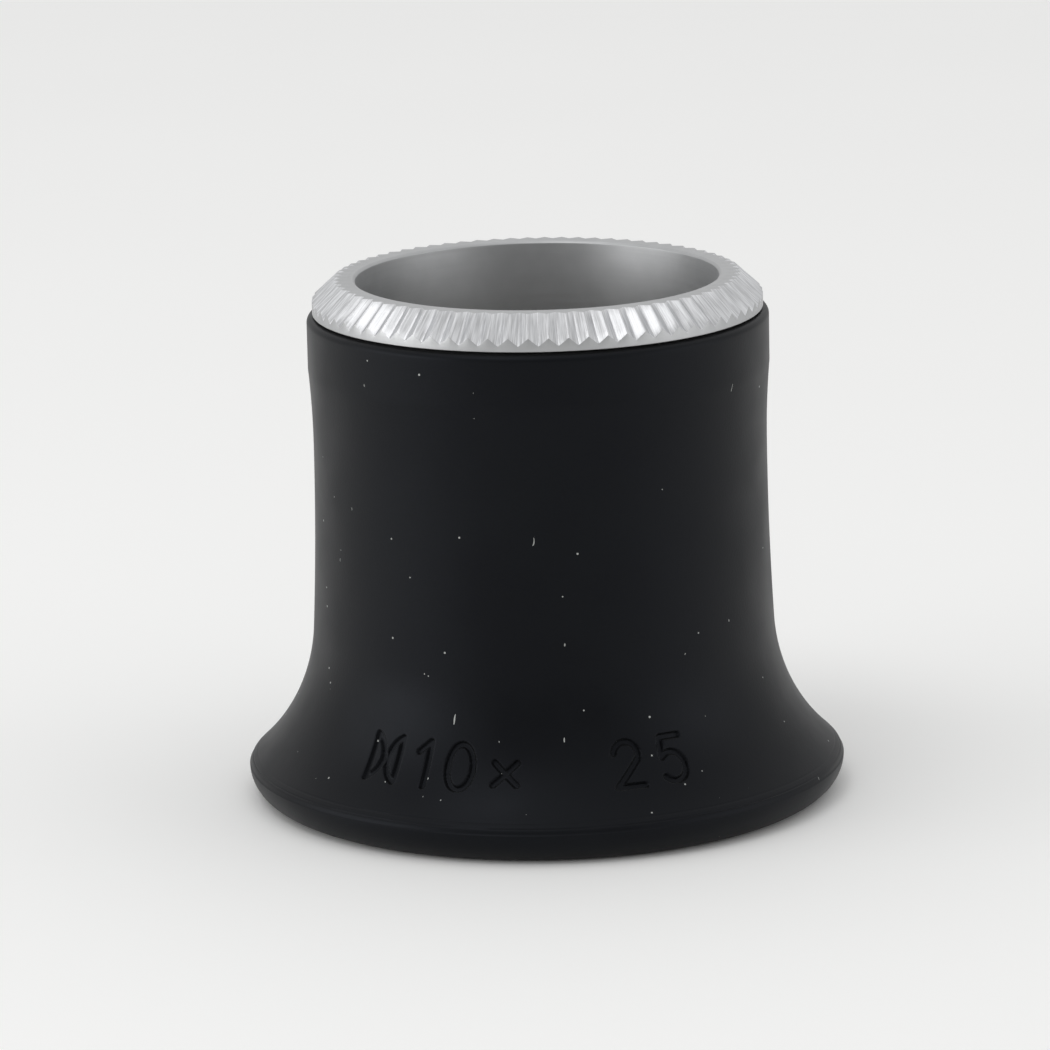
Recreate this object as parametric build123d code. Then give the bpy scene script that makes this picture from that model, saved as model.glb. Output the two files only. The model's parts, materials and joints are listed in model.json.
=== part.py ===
from build123d import *
import math
import os

# Jeweller's eye loupe: a flared moulded eye cup that carries a pair of plano-convex lenses,
# shut by a fluted aluminium bezel on a fine screw thread.
# Frame: the eye rim stands on z = 0, the optical axis is +Z, all sizes in millimetres.

# ---------------------------------------------------------------- overall sizes
HEIGHT = 31.5             # eye rim to the top of the bezel
CUP_R = 18.0              # widest radius of the eye cup, at its parting line

# ---------------------------------------------------------------- lenses
LENS_R = 12.0             # radius of both lenses
LENS_CURVE_R = 25.4       # radius of each convex face
LENS_EDGE = 1.5           # height of each lens's straight edge
LENS_GAP = 0.6            # air between the two convex faces, on the axis
LENS_BEVEL = 0.2          # ground bevel round each flat face
LENS_LAND = 1.13          # width of glass rim that the bezel hides
SEAT_CLEARANCE = 0.05     # lens edge and spacer to the seat bore, on the radius

# ---------------------------------------------------------------- spacer ring between the lenses
SPACER_WALL = 0.9         # radial wall of the spacer
SPACER_BAFFLES = 5        # anti-glare grooves turned inside it
BAFFLE_DEPTH = 0.3
GLASS_CLEARANCE = 0.02    # spherical seats of the spacer to the glass

# ---------------------------------------------------------------- eye cup
LIP_UNDER_R = 1.85        # roll under the rim; its top is the parting line
LIP_OVER_R = 0.55         # tighter roll above the parting line
FLARE_R = 11.5            # hollow of the flare
NECK_SWEEP_R = 200.0      # long shallow sweep from the flare up to the waist
WAIST_DROP = 4.7          # waist to the foot of the collar
COLLAR_H = 3.15           # straight collar below the mouth
MOUTH_EDGE_R = 0.4        # round on the collar's top edge
WAIST_WALL = 1.57         # wall at the waist, outside the lens seat
COLLAR_WALL = 1.13        # wall at the collar, outside the thread
FLARE_WALL = 1.6          # wall of the flare
FOOT_LAND = 1.2           # width of the ring that rests on the face
EYE_EDGE_R = 0.4          # round on the inner edge of that ring
SHOULDER_H = 1.2          # thickness of the ledge that the rear lens sits on
SHOULDER_LAND = 1.5       # width of glass rim that the ledge holds
RELIEF_H = 0.2            # seat bore above the front lens, below the threaded counterbore

# ---------------------------------------------------------------- bezel
HEAD_H = 2.0              # fluted head, top face to underside
BARREL_LEN = 5.1          # threaded barrel below the head
SHADOW_GAP = 0.15         # head's underside to the eye cup's mouth when screwed down
BEZEL_INSET = 0.35        # head stands in from the collar
BEVEL_RUN = 1.25          # ridges of the bevel, inwards from the head's edge
BEVEL_DROP = 1.15         # and down from the top face
FLUTES = 72               # V flutes round the bevel
FLUTE_ANGLE = 120.0       # included angle of the V cutter
FLUTE_RUN = 1.75          # floor of each flute, inwards from the head's edge
FLUTE_DROP = 1.67         # and down from the top face
BORE_CHAMFER = 0.15

# ---------------------------------------------------------------- screw thread
THREAD_PITCH = 1.0        # rise in one turn, right-handed
THREAD_DEPTH = 0.48
THREAD_STEP = 0.17        # thread's inner radius over the lens seat, so that the lenses drop through
THREAD_RADIAL_GAP = 0.1   # crest to root
THREAD_AXIAL_GAP = 0.08   # flank to flank
FLANK_ANGLE = 30.0        # degrees from square to the axis
THREAD_LEAD = 0.5         # barrel's end to the middle of its first thread
THREAD_RUNOUT = 1.3       # head's underside to the middle of the barrel's last thread
MOUTH_LEAD = 0.95         # mouth to the middle of the eye cup's last thread
THREAD_BITE = 0.15        # how far a thread ridge is sunk into its wall, to be one solid with it

# ---------------------------------------------------------------- slip ring
SLIP_FLANGE_H = 0.4       # nylon flange between the barrel and the glass
SLIP_SPIGOT_H = 0.9       # spigot that holds the slip ring inside the barrel
SLIP_SPIGOT_WALL = 0.45
SLIP_REVEAL = 0.1         # slip ring's bore is this much larger than the sight bore
SLIP_FIT = 0.04           # spigot to the barrel's counterbore, on the radius
SLIP_EDGE_GAP = 0.15      # flange to the seat bore, on the radius

# ---------------------------------------------------------------- worked-out sizes
lens_sag = LENS_CURVE_R - math.sqrt(LENS_CURVE_R**2 - LENS_R**2)
spacer_inner_r = LENS_R - SPACER_WALL
spacer_reach = math.sqrt(LENS_CURVE_R**2 - spacer_inner_r**2) - math.sqrt(LENS_CURVE_R**2 - LENS_R**2)
seat_r = LENS_R + SEAT_CLEARANCE
sight_r = LENS_R - LENS_LAND

female_crest_r = seat_r + THREAD_STEP
male_crest_r = female_crest_r + THREAD_DEPTH - THREAD_RADIAL_GAP
male_root_r = male_crest_r - THREAD_DEPTH
female_root_r = female_crest_r + THREAD_DEPTH
flank_slope = math.tan(math.radians(FLANK_ANGLE))
flank_width = 2 * THREAD_DEPTH * flank_slope
thread_overlap = male_crest_r - female_crest_r
crest_width = (THREAD_PITCH - 2 * THREAD_AXIAL_GAP - 2 * thread_overlap * flank_slope) / 2

collar_r = female_root_r + COLLAR_WALL
waist_r = seat_r + WAIST_WALL
bezel_r = collar_r - BEZEL_INSET

head_z = HEIGHT - HEAD_H
mouth_z = head_z - SHADOW_GAP
barrel_end_z = head_z - BARREL_LEN
front_face_z = barrel_end_z - SLIP_FLANGE_H
front_edge_z = front_face_z - LENS_EDGE
spacer_h = 2 * lens_sag + LENS_GAP
rear_edge_z = front_edge_z - spacer_h
shoulder_z = rear_edge_z - LENS_EDGE
collar_z = mouth_z - COLLAR_H
waist_z = collar_z - WAIST_DROP


def circle_meet(centre_a, radius_a, centre_b, radius_b):
    """Point where two circles in the radius-height plane meet, left of the line from a to b."""
    gap = math.dist(centre_a, centre_b)
    along = (gap**2 + radius_a**2 - radius_b**2) / (2 * gap)
    across = math.sqrt(radius_a**2 - along**2)
    unit_r = (centre_b[0] - centre_a[0]) / gap
    unit_z = (centre_b[1] - centre_a[1]) / gap
    meet_r = centre_a[0] + along * unit_r - across * unit_z
    meet_z = centre_a[1] + along * unit_z + across * unit_r
    return meet_r, meet_z


def point_towards(start, target, distance):
    """Point at a distance from start, on the line to target."""
    share = distance / math.dist(start, target)
    return start[0] + share * (target[0] - start[0]), start[1] + share * (target[1] - start[1])


def arc_about(centre, start, end):
    """Arc about a centre from start to end, the short way round."""
    middle = ((start[0] + end[0]) / 2, (start[1] + end[1]) / 2)
    return ThreePointArc(start, point_towards(centre, middle, math.dist(centre, start)), end)


def turned(*edges):
    """Solid of revolution about +Z from a closed radius-height outline."""
    return revolve(Plane.XZ * make_face(Wire(edges)), Axis.Z)


def ring(outer_r, inner_r, low_z, high_z):
    """Plain ring about +Z."""
    outline = Polyline((inner_r, low_z), (outer_r, low_z), (outer_r, high_z), (inner_r, high_z), close=True)
    return turned(*outline.edges())


def disc(radius, low_z, high_z):
    """Plain disc about +Z."""
    return Pos(0, 0, (low_z + high_z) / 2) * Cylinder(radius, high_z - low_z)


def thread_ridge(root_r, crest_r, low_z, high_z):
    """Helical ridge from root_r to crest_r; its middle climbs from low_z to high_z."""
    outwards = math.copysign(1, crest_r - root_r)
    buried_r = root_r - outwards * THREAD_BITE
    root_half = (crest_width + flank_width) / 2 + THREAD_BITE * flank_slope
    crest_half = crest_width / 2
    section = Plane(origin=(0, 0, low_z), x_dir=(1, 0, 0), z_dir=(0, -1, 0)) * make_face(
        Polyline(
            (buried_r, -root_half),
            (crest_r, -crest_half),
            (crest_r, crest_half),
            (buried_r, root_half),
            close=True,
        )
    )
    path = Helix(THREAD_PITCH, high_z - low_z, root_r, center=(0, 0, low_z))
    return sweep(section, path=path, is_frenet=True)


def flare_centres():
    """Centres of the rolls and hollows that make the cup's outside, from the rim upwards."""
    lip_over = (CUP_R - LIP_OVER_R, LIP_UNDER_R)
    neck = (waist_r + NECK_SWEEP_R, waist_z)
    flare = circle_meet(lip_over, FLARE_R + LIP_OVER_R, neck, NECK_SWEEP_R - FLARE_R)
    return lip_over, flare, neck


def cup_outside():
    """Solid of the eye cup's outer shape: rim, flare, waist and collar."""
    lip_over, flare, neck = flare_centres()
    foot = (CUP_R - LIP_UNDER_R, 0)
    widest = (CUP_R, LIP_UNDER_R)
    lip_end = point_towards(lip_over, flare, LIP_OVER_R)
    flare_end = point_towards(neck, flare, NECK_SWEEP_R)
    waist = (waist_r, waist_z)
    collar_foot = (collar_r, collar_z)
    collar_step = collar_r - waist_r
    rise_r = (collar_step**2 + WAIST_DROP**2) / (2 * collar_step)
    edge_low = (collar_r, mouth_z - MOUTH_EDGE_R)
    edge_high = (collar_r - MOUTH_EDGE_R, mouth_z)
    return turned(
        Line((0, 0), foot),
        arc_about((foot[0], LIP_UNDER_R), foot, widest),
        arc_about(lip_over, widest, lip_end),
        arc_about(flare, lip_end, flare_end),
        arc_about(neck, flare_end, waist),
        arc_about((waist_r + rise_r, waist_z), waist, collar_foot),
        Line(collar_foot, edge_low),
        arc_about((edge_high[0], edge_low[1]), edge_low, edge_high),
        Line(edge_high, (0, mouth_z)),
        Line((0, mouth_z), (0, 0)),
    )


def eye_cavity():
    """Space for the eye: the flare's hollow one wall further in, trimmed by a straight mouth."""
    flare_r, flare_z = flare_centres()[1]
    hollow_r = FLARE_R + FLARE_WALL
    cavity_r = flare_r - hollow_r
    hollow_z = flare_z - hollow_r
    hollow = turned(
        Line((0, -HEIGHT), (flare_r, -HEIGHT)),
        Line((flare_r, -HEIGHT), (flare_r, hollow_z)),
        arc_about((flare_r, flare_z), (flare_r, hollow_z), (cavity_r, flare_z)),
        Line((cavity_r, flare_z), (cavity_r, HEIGHT)),
        Line((cavity_r, HEIGHT), (0, HEIGHT)),
        Line((0, HEIGHT), (0, -HEIGHT)),
    )
    open_r = CUP_R - LIP_UNDER_R - FOOT_LAND
    edge_r = open_r + EYE_EDGE_R
    rounding = turned(
        Line((open_r, 0), (edge_r, 0)),
        arc_about((edge_r, EYE_EDGE_R), (edge_r, 0), (open_r, EYE_EDGE_R)),
        Line((open_r, EYE_EDGE_R), (open_r, 0)),
    )
    return [hollow & disc(open_r, 0, shoulder_z - SHOULDER_H), rounding]


def eye_cup():
    """Moulded cup: eye rim and flare, ledge and bore for the lenses, thread for the bezel."""
    relief_z = front_face_z + RELIEF_H
    female_low_z = barrel_end_z + THREAD_LEAD + THREAD_PITCH / 2
    cup = cup_outside() - eye_cavity()
    cup -= disc(LENS_R - SHOULDER_LAND, 0, HEIGHT)
    cup -= disc(seat_r, shoulder_z, HEIGHT)
    cup -= disc(female_root_r, relief_z, HEIGHT)
    return cup + thread_ridge(female_root_r, female_crest_r, female_low_z, mouth_z - MOUTH_LEAD)


def lens(flat_z, edge_z):
    """Plano-convex lens: flat face at flat_z, straight edge up or down to edge_z, then the dome."""
    facing = math.copysign(1, edge_z - flat_z)
    crown_z = edge_z + facing * lens_sag
    centre_z = crown_z - facing * LENS_CURVE_R
    return turned(
        Line((0, flat_z), (LENS_R - LENS_BEVEL, flat_z)),
        Line((LENS_R - LENS_BEVEL, flat_z), (LENS_R, flat_z + facing * LENS_BEVEL)),
        Line((LENS_R, flat_z + facing * LENS_BEVEL), (LENS_R, edge_z)),
        arc_about((0, centre_z), (LENS_R, edge_z), (0, crown_z)),
        Line((0, crown_z), (0, flat_z)),
    )


def spacer_ring():
    """Aluminium ring that holds the lenses apart, with spherical seats and anti-glare grooves."""
    groove_pitch = (spacer_h - 2 * spacer_reach) / (SPACER_BAFFLES + 1)
    middle_z = (rear_edge_z + front_edge_z) / 2
    spacer = ring(LENS_R, spacer_inner_r, rear_edge_z, front_edge_z)
    for step in range(SPACER_BAFFLES):
        groove_z = middle_z + (step - (SPACER_BAFFLES - 1) / 2) * groove_pitch
        groove = Polyline(
            (spacer_inner_r, groove_z - BAFFLE_DEPTH),
            (spacer_inner_r + BAFFLE_DEPTH, groove_z),
            (spacer_inner_r, groove_z + BAFFLE_DEPTH),
            close=True,
        )
        spacer -= turned(*groove.edges())
    reach_z = LENS_CURVE_R - lens_sag
    spacer -= Pos(0, 0, rear_edge_z - reach_z) * Sphere(LENS_CURVE_R + GLASS_CLEARANCE)
    spacer -= Pos(0, 0, front_edge_z + reach_z) * Sphere(LENS_CURVE_R + GLASS_CLEARANCE)
    return spacer


def slip_ring():
    """Nylon ring that keeps the turning barrel off the glass; its spigot sits inside the barrel."""
    inner_r = sight_r + SLIP_REVEAL
    flange = ring(seat_r - SLIP_EDGE_GAP, inner_r, front_face_z, barrel_end_z)
    return flange + ring(inner_r + SLIP_SPIGOT_WALL, inner_r, front_face_z, barrel_end_z + SLIP_SPIGOT_H)


def flute_cutter():
    """V bar whose edge lies along the floor of the flute at the +X side."""
    reach = FLUTE_RUN
    spread = reach * math.tan(math.radians(FLUTE_ANGLE / 2))
    floor = Plane(
        origin=(bezel_r - FLUTE_RUN, 0, HEIGHT),
        x_dir=(0, 1, 0),
        z_dir=(FLUTE_RUN, 0, -FLUTE_DROP),
    )
    vee = make_face(Polyline((0, 0), (spread, reach), (-spread, reach), close=True))
    floor_length = math.hypot(FLUTE_RUN, FLUTE_DROP)
    return extrude(floor * Pos(0, 0, -reach) * vee, floor_length + 2 * reach)


def bezel():
    """Turned aluminium bezel: fluted head, sight bore, threaded barrel and slip ring recess."""
    recess_r = sight_r + SLIP_REVEAL + SLIP_SPIGOT_WALL + SLIP_FIT
    recess_z = barrel_end_z + SLIP_SPIGOT_H + SLIP_FIT
    outline = Polyline(
        (recess_r, barrel_end_z),
        (male_root_r, barrel_end_z),
        (male_root_r, head_z),
        (bezel_r, head_z),
        (bezel_r, HEIGHT - BEVEL_DROP),
        (bezel_r - BEVEL_RUN, HEIGHT),
        (sight_r + BORE_CHAMFER, HEIGHT),
        (sight_r, HEIGHT - BORE_CHAMFER),
        (sight_r, recess_z),
        (recess_r, recess_z),
        close=True,
    )
    cutter = flute_cutter()
    blank = turned(*outline.edges())
    fluted = blank - [Rot(0, 0, 360 * flute / FLUTES) * cutter for flute in range(FLUTES)]
    return fluted + thread_ridge(
        male_root_r, male_crest_r, barrel_end_z + THREAD_LEAD, head_z - THREAD_RUNOUT
    )


nodes = {
    "eye_cup": eye_cup(),
    "rear_lens": lens(shoulder_z, rear_edge_z),
    "spacer_ring": spacer_ring(),
    "front_lens": lens(front_face_z, front_edge_z),
    "slip_ring": slip_ring(),
    "bezel": bezel(),
}

os.makedirs("parts", exist_ok=True)
for name, solid in nodes.items():
    export_step(solid, f"parts/{name}.step")

print(f"collar radius {collar_r:.3f}, waist radius {waist_r:.3f}, bezel radius {bezel_r:.3f}")
print(f"sight bore radius {sight_r:.3f}, thread crests {male_crest_r:.3f} and {female_crest_r:.3f}")
print(f"mouth {mouth_z:.3f}, barrel end {barrel_end_z:.3f}, front glass {front_face_z:.3f}")
print(f"shoulder {shoulder_z:.3f}, waist {waist_z:.3f}, flare ends {flare_centres()[1][1]:.3f}")
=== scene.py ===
# Jeweller's eye loupe: the finished look of each piece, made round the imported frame.
# Every length below is in metres, in the frame's own axes; MM turns millimetres into metres.
import json
import math

import bmesh
import bpy
from bpy.props import FloatProperty, FloatVectorProperty, IntProperty, PointerProperty
from mathutils import Matrix, Vector


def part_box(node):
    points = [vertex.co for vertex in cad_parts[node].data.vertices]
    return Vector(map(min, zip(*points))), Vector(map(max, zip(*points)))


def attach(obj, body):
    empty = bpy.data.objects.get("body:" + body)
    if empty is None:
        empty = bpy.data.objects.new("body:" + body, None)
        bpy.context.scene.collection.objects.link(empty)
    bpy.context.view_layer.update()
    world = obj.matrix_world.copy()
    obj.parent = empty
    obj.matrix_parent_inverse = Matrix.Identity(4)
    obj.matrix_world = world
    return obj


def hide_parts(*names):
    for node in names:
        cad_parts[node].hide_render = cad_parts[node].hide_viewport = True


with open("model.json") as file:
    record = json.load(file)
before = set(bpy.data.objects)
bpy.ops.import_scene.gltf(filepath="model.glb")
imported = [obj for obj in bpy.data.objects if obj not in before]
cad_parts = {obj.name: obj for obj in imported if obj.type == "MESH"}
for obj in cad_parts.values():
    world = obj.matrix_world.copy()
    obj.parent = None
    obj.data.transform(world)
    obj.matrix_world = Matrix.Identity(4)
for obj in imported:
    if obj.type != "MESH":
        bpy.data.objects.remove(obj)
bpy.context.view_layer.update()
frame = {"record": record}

bl_info = {
    "name": "Jeweller's eye loupe",
    "version": (1, 0, 0),
    "blender": (4, 5, 0),
    "location": "3D View > Sidebar > Loupe",
    "description": "Makes the finished pieces of a jeweller's eye loupe round its frame",
    "category": "Object",
}

MM = 0.001


# ---------------------------------------------------------------- places read from the frame
def mount(name):
    """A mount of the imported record."""
    return next(m for m in frame["record"]["mounts"] if m["name"] == name)


def mount_radius(name):
    """Radius of a round mount."""
    return mount(name)["dims"]["r_mm"] * MM


def span(node):
    """Outer radius, lowest and highest height of a CAD node."""
    low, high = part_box(node)
    return (high[0] - low[0]) / 2, low[2], high[2]


CUP_R, CUP_LOW, MOUTH_Z = span("eye_cup")
BEZEL_R, BARREL_LOW, BEZEL_TOP = span("bezel")
LENS_R, FRONT_CROWN_Z, FRONT_FLAT_Z = span("front_lens")
REAR_FLAT_Z, REAR_CROWN_Z = span("rear_lens")[1:]
SLIP_R, SLIP_LOW, SLIP_TOP = span("slip_ring")
COLLAR_R = mount_radius("collar")
SIGHT_R = mount_radius("sight_bore")
WAIST_Z = mount("headband_waist")["pos_m"][2]


def linear(code, alpha=1.0):
    """An sRGB hex colour as linear red, green, blue and alpha."""
    shades = [int(code[i:i + 2], 16) / 255 for i in (1, 3, 5)]
    return (*[s / 12.92 if s <= 0.04045 else ((s + 0.055) / 1.055) ** 2.4 for s in shades], alpha)


def length(name, description, millimetres):
    """A length property, given in millimetres and kept in metres."""
    return FloatProperty(
        name=name, description=description, default=millimetres * MM, unit="LENGTH", precision=6
    )


def colour(name, description, code):
    """A colour property, given as an sRGB hex code."""
    return FloatVectorProperty(
        name=name, description=description, default=linear(code)[:3], subtype="COLOR", min=0, max=1
    )


# ---------------------------------------------------------------- sizes and colours a user changes
class LoupeCupSettings(bpy.types.PropertyGroup):
    """Moulded eye cup"""

    lip_under: length("Under roll", "Round under the eye rim, up to the parting line", 1.85)
    lip_over: length("Over roll", "Tighter round above the parting line", 0.55)
    flare: length("Flare hollow", "Radius of the hollow of the flare", 11.5)
    flare_wall: length("Flare wall", "Wall of the flare", 1.6)
    neck_sweep: length("Neck sweep", "Radius of the long sweep up to the waist", 200.0)
    waist: length("Waist radius", "Smallest outside radius", 13.62)
    waist_drop: length("Waist drop", "Waist to the foot of the collar", 4.7)
    mouth_edge: length("Mouth edge", "Round on the top edge of the collar", 0.4)
    foot_land: length("Foot land", "Width of the ring that rests on the face", 1.2)
    eye_edge: length("Eye edge", "Round on the inner edge of that ring", 0.4)
    seat_gap: length("Seat clearance", "Lens edge to the seat bore", 0.05)
    ledge: length("Ledge", "Thickness of the ledge under the rear lens", 1.2)
    ledge_land: length("Ledge land", "Width of glass rim on the ledge", 1.5)
    relief: length("Relief", "Seat bore above the front lens", 0.2)
    seam_height: length("Seam height", "How far the rim stands proud up to the parting line", 0.065)
    mark_depth: length("Mark depth", "Depth of the sunk magnification mark", 0.2)
    mark_height: length("Mark height", "Height of the mark's figures", 2.7)
    shade: colour("Plastic", "Colour of the black plastic", "#050506")
    shade_worn: colour("Rubbed plastic", "Colour where handling has dulled it", "#090a0b")
    lint: colour("Lint", "Colour of the specks of dust", "#a5a7a4")


class LoupeThreadSettings(bpy.types.PropertyGroup):
    """Screw thread of the bezel and the cup"""

    pitch: length("Pitch", "Rise in one turn", 1.0)
    depth: length("Depth", "Crest to root", 0.48)
    step: length("Step", "Cup's thread crest over the seat bore", 0.17)
    gap: length("Radial gap", "Crest to root clearance", 0.1)
    flank_gap: length("Flank gap", "Flank to flank clearance", 0.08)
    lead: length("Lead", "Barrel's end to the middle of its first thread", 0.5)
    runout: length("Runout", "Head to the middle of the barrel's last thread", 1.3)
    mouth_lead: length("Mouth lead", "Mouth to the middle of the cup's last thread", 0.95)
    bite: length("Bite", "How far a ridge is sunk into its wall", 0.15)


class LoupeBezelSettings(bpy.types.PropertyGroup):
    """Turned and fluted bezel"""

    flutes: IntProperty(name="Flutes", description="V flutes round the bevel", default=72, min=12)
    head: length("Head", "Height of the fluted head", 2.0)
    flute_angle: FloatProperty(
        name="Flute angle",
        description="Included angle of the V cutter",
        default=math.radians(120),
        subtype="ANGLE",
    )
    flute_run: length("Flute run", "Floor of a flute, inwards from the head's edge", 1.75)
    flute_drop: length("Flute drop", "Floor of a flute, down from the top face", 1.67)
    bore_chamfer: length("Bore chamfer", "Chamfer round the sight bore", 0.15)
    edge: length("Edge break", "Width of the broken edges", 0.035)
    metal: colour("Aluminium", "Colour of the anodised metal", "#babbbc")
    metal_cut: colour("Cut aluminium", "Colour of the flanks of the flutes", "#e2e3e5")


class LoupeLensSettings(bpy.types.PropertyGroup):
    """Lenses, spacer and slip ring"""

    curve: length("Curve", "Radius of each convex face", 25.4)
    edge: length("Edge", "Height of a lens's straight edge", 1.5)
    bevel: length("Bevel", "Ground bevel round the flat face", 0.2)
    spacer_wall: length("Spacer wall", "Wall of the spacer ring", 0.9)
    baffle: length("Baffle depth", "Depth of the anti-glare grooves", 0.3)
    baffles: IntProperty(name="Baffles", description="Anti-glare grooves", default=5, min=0)
    seat: length("Glass clearance", "Spacer to the glass", 0.02)
    slip_flange: length("Slip flange", "Thickness of the slip ring's flange", 0.4)
    slip_wall: length("Slip wall", "Wall of the slip ring's spigot", 0.45)
    slip_reveal: length("Slip reveal", "Slip ring's bore over the sight bore", 0.1)
    slip_fit: length("Slip fit", "Spigot to its recess in the barrel", 0.04)
    anodised: colour("Black anodising", "Colour of the spacer", "#18181a")
    nylon: colour("Nylon", "Colour of the slip ring", "#d9d6c8")


class LoupeStageSettings(bpy.types.PropertyGroup):
    """Floor, lights and camera"""

    distance: length("Camera distance", "Camera to the point it looks at", 349.3)
    elevation: FloatProperty(
        name="Elevation",
        description="Camera's height as an angle",
        default=math.radians(13.44),
        subtype="ANGLE",
    )
    roll: FloatProperty(
        name="Roll", description="Camera's lean", default=math.radians(-1.24), subtype="ANGLE"
    )
    look_height: length("Look height", "Height of the point looked at", 15.5)
    aim_right: length("Aim right", "Aim beside that point", -1.03)
    aim_up: length("Aim up", "Aim above that point", 0.60)
    focal: length("Focal length", "Lens of the camera", 198.4)
    floor: colour("Floor", "Colour of the pale floor", "#fbfbfa")


# ---------------------------------------------------------------- nodes and materials
def add_node(tree, kind, inputs=None, **settings):
    """A node with its settings; each input is a value or a socket to link from."""
    node = tree.nodes.new(kind)
    for name, value in settings.items():
        setattr(node, name, value)
    for name, value in (inputs or {}).items():
        if isinstance(value, bpy.types.NodeSocket):
            tree.links.new(value, node.inputs[name])
        else:
            node.inputs[name].default_value = value
    return node


def new_material(name, **constants):
    """A material with one Principled shader and the shader's own constant values, with its node
    tree, the shader and object coordinates in metres."""
    material = bpy.data.materials.new(name)
    material.use_nodes = True
    tree = material.node_tree
    shader = next(node for node in tree.nodes if node.type == "BSDF_PRINCIPLED")
    for socket, value in constants.items():
        shader.inputs[socket.replace("_", " ")].default_value = value
    return material, tree, shader, add_node(tree, "ShaderNodeTexCoord").outputs["Object"]


def opaque(shade, share=1.0):
    """A share of a colour property, with full alpha."""
    return (*[share * c for c in shade], 1.0)


def shade_by(tree, shader, pattern, contrast, first, second):
    """Colours a surface from the first colour to the second, as a pattern rises through its
    contrast range."""
    low, high = contrast
    factor = add_node(
        tree, "ShaderNodeMapRange", {"Value": pattern, "From Min": low, "From Max": high}
    )
    mix = add_node(
        tree, "ShaderNodeMix", {0: factor.outputs["Result"], 6: first, 7: second}, data_type="RGBA"
    )
    tree.links.new(mix.outputs[2], shader.inputs["Base Color"])
    return mix.outputs[2]


def finish_by(tree, shader, pattern, roughness, relief, depth, strength=1.0):
    """Lets a surface's roughness follow one pattern and its fine relief, of a real depth, follow
    another. A noise keeps mostly between 0.3 and 0.7, which is the range drawn out here."""
    smoothest, roughest = roughness
    rough = add_node(
        tree,
        "ShaderNodeMapRange",
        {
            "Value": pattern,
            "From Min": 0.3,
            "From Max": 0.7,
            "To Min": smoothest,
            "To Max": roughest,
        },
    )
    bump = add_node(
        tree, "ShaderNodeBump", {"Height": relief, "Distance": depth, "Strength": strength}
    )
    tree.links.new(rough.outputs["Result"], shader.inputs["Roughness"])
    tree.links.new(bump.outputs["Normal"], shader.inputs["Normal"])


def scattered(tree, vector, apart, size, share):
    """One inside small specks that lie about so far apart, of which only a share is there."""
    cells = add_node(tree, "ShaderNodeTexVoronoi", {"Vector": vector, "Scale": 1 / apart})
    chosen = add_node(tree, "ShaderNodeSeparateColor", {"Color": cells.outputs["Color"]})
    there = add_node(
        tree, "ShaderNodeMath", {0: chosen.outputs["Red"], 1: share}, operation="LESS_THAN"
    )
    near = add_node(
        tree,
        "ShaderNodeMath",
        {0: cells.outputs["Distance"], 1: size / apart},
        operation="LESS_THAN",
    )
    return add_node(
        tree, "ShaderNodeMath", {0: there.outputs[0], 1: near.outputs[0]}, operation="MULTIPLY"
    ).outputs[0]


def lint_on(tree, here):
    """One where a surface carries lint: round specks of dust and short bent fibres."""
    apart = 1.0 * MM
    bend = 0.8 * MM
    dust = scattered(tree, here, apart, 0.065 * MM, 0.2)
    wander = add_node(
        tree, "ShaderNodeTexNoise", {"Vector": here, "Scale": 1 / (1.1 * MM), "Detail": 0.0}
    )
    bent = add_node(
        tree,
        "ShaderNodeVectorMath",
        {0: wander.outputs["Color"], 1: (bend, bend, 0.0), 2: here},
        operation="MULTIPLY_ADD",
    )
    drawn_out = add_node(
        tree, "ShaderNodeVectorMath", {0: bent.outputs[0], 1: (1.0, 1.0, 0.1)}, operation="MULTIPLY"
    )
    fibres = scattered(tree, drawn_out.outputs[0], apart, 0.032 * MM, 0.8)
    return add_node(
        tree, "ShaderNodeMath", {0: dust, 1: fibres}, operation="MAXIMUM"
    ).outputs[0]


def moulded_plastic(settings):
    """Black ABS moulded in a spark-eroded tool: a fine even satin, a little duller where it is
    handled, with a few specks of lint that a black satin surface always shows."""
    grain = 0.16 * MM
    handled = 5.0 * MM
    material, tree, shader, here = new_material(
        "spark-eroded black ABS",
        IOR=1.52,
        Specular_IOR_Level=0.15,
        Specular_Tint=linear("#e6eeff"),
        Sheen_Weight=0.035,
        Sheen_Roughness=0.45,
    )
    patches = add_node(
        tree, "ShaderNodeTexNoise", {"Vector": here, "Scale": 1 / handled, "Detail": 3.0}
    ).outputs["Fac"]
    fine = add_node(
        tree, "ShaderNodeTexNoise", {"Vector": here, "Scale": 1 / grain, "Detail": 1.0}
    ).outputs["Fac"]
    worn = shade_by(
        tree, shader, patches, (0.35, 0.7), opaque(settings.shade), opaque(settings.shade_worn)
    )
    specked = add_node(
        tree,
        "ShaderNodeMix",
        {0: lint_on(tree, here), 6: worn, 7: opaque(settings.lint)},
        data_type="RGBA",
    )
    tree.links.new(specked.outputs[2], shader.inputs["Base Color"])
    finish_by(tree, shader, patches, (0.40, 0.50), fine, 0.006 * MM, 0.6)
    return material


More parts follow.
